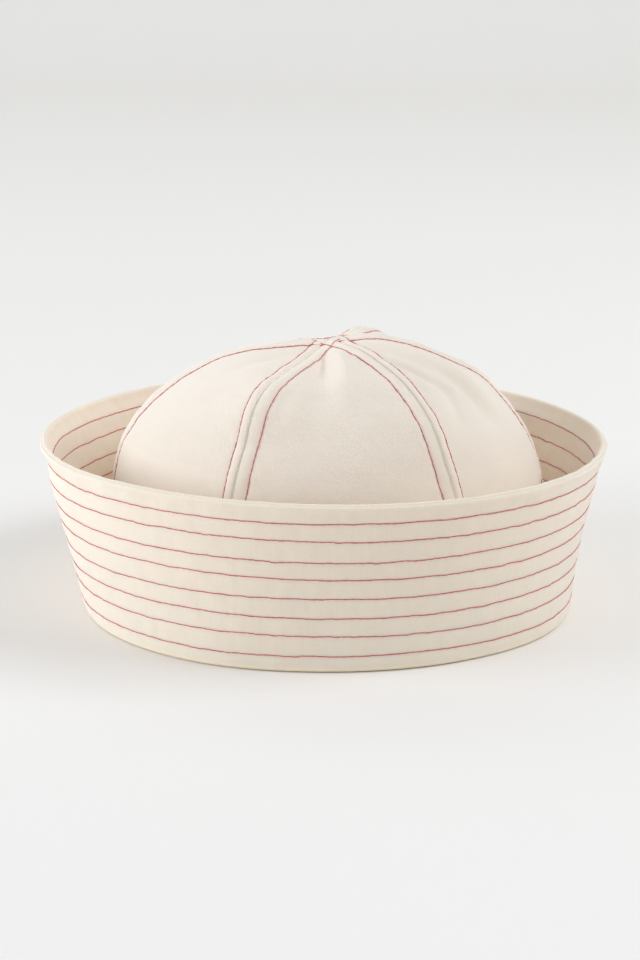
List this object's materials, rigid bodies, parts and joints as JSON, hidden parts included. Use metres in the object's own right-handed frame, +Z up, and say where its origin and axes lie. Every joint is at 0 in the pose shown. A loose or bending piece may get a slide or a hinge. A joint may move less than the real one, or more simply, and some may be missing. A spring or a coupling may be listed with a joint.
{
  "type": "sailor cap",
  "caption": "Round cotton cap with a gored dome crown and a tall upturned brim sewn with rows of topstitching.",
  "frame": {"origin": "middle of the cap's box, on the surface that it stands on", "axes": "+Z up through the crown, -Y towards the front that the picture shows, +X to the right of that view"},
  "size_m": [0.2254, 0.2264, 0.1065],
  "materials": {
    "crown_twill": "undyed cotton twill, matt, fine diagonal weave",
    "brim_twill": "undyed cotton twill in two plies, matt, stiffened by rows of topstitching",
    "red_thread": "twisted red sewing thread"
  },
  "bodies": {
    "root": {"brim": "brim_twill", "crown_gore_1": "crown_twill", "crown_gore_2": "crown_twill", "crown_gore_3": "crown_twill", "crown_gore_4": "crown_twill", "crown_gore_5": "crown_twill", "crown_gore_6": "crown_twill"}
  },
  "joints": []
}
